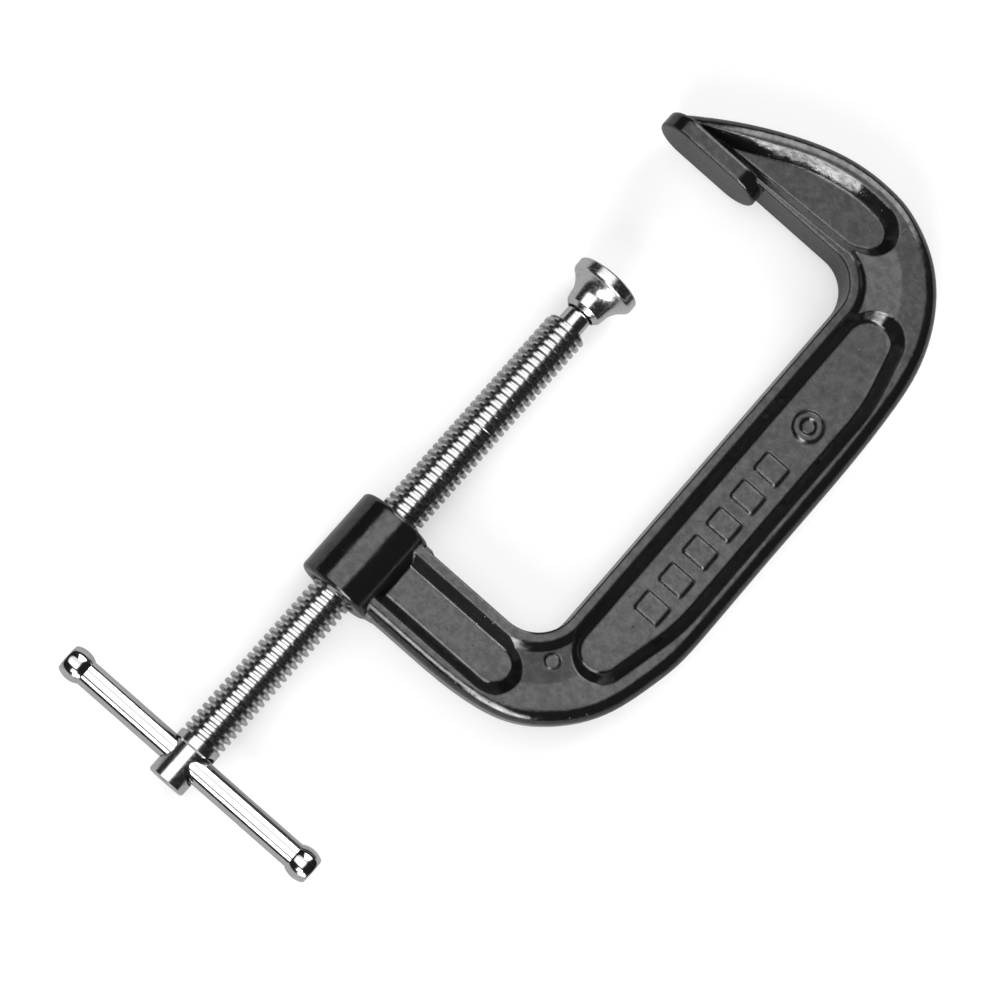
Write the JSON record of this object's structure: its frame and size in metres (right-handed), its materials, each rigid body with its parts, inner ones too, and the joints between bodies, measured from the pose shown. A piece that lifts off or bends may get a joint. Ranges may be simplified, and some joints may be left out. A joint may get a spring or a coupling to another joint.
{
  "type": "c clamp",
  "caption": "Hand C clamp: cast C-shaped frame, chrome screw threaded through its boss, sliding T-bar handle and a swivel pad that closes on a flat anvil.",
  "frame": {"origin": "centre of the anvil face where the screw axis meets it, in the plane that halves the clamp's thickness", "axes": "+Y along the screw axis, from the handle to the anvil; +X from the screw axis to the spine; +Z across the clamp, which lies flat on its side"},
  "size_m": [0.1421, 0.2905, 0.0256],
  "materials": {
    "frame_paint": "gloss black paint over a cast surface",
    "chrome_plate": "bright chrome or nickel plate",
    "spring_wire": "bright drawn wire"
  },
  "bodies": {
    "frame": {"frame": "frame_paint"},
    "carriage": {"pad_retaining_ring": "spring_wire"},
    "screw": {"screw": "chrome_plate"},
    "pad": {"swivel_pad": "chrome_plate"},
    "bar": {"t_bar": "chrome_plate", "bar_cap_spine_side": "chrome_plate", "bar_cap_open_side": "chrome_plate"}
  },
  "joints": [
    {"name": "screw_travel", "type": "slide", "parent": "frame", "child": "carriage", "axis": [0, 1, 0], "range_m": [-0.086, 0.0477]},
    {"name": "screw_turn", "type": "hinge", "parent": "carriage", "child": "screw", "pos_m": [0, -0.0574, 0], "axis": [0, 1, 0], "range_deg": [-12189, 6760.6]},
    {"name": "pad_tilt", "type": "hinge", "parent": "carriage", "child": "pad", "pos_m": [0, -0.0574, 0], "axis": [0, 0, 1], "range_deg": [-4, 4]},
    {"name": "bar_slide", "type": "slide", "parent": "screw", "child": "bar", "axis": [1, 0, 0], "range_m": [-0.037, 0.033]}
  ],
  "couplings": [
    {"joint": "screw_travel", "follows": "screw_turn", "m_per_rad": 0.00040425}
  ]
}
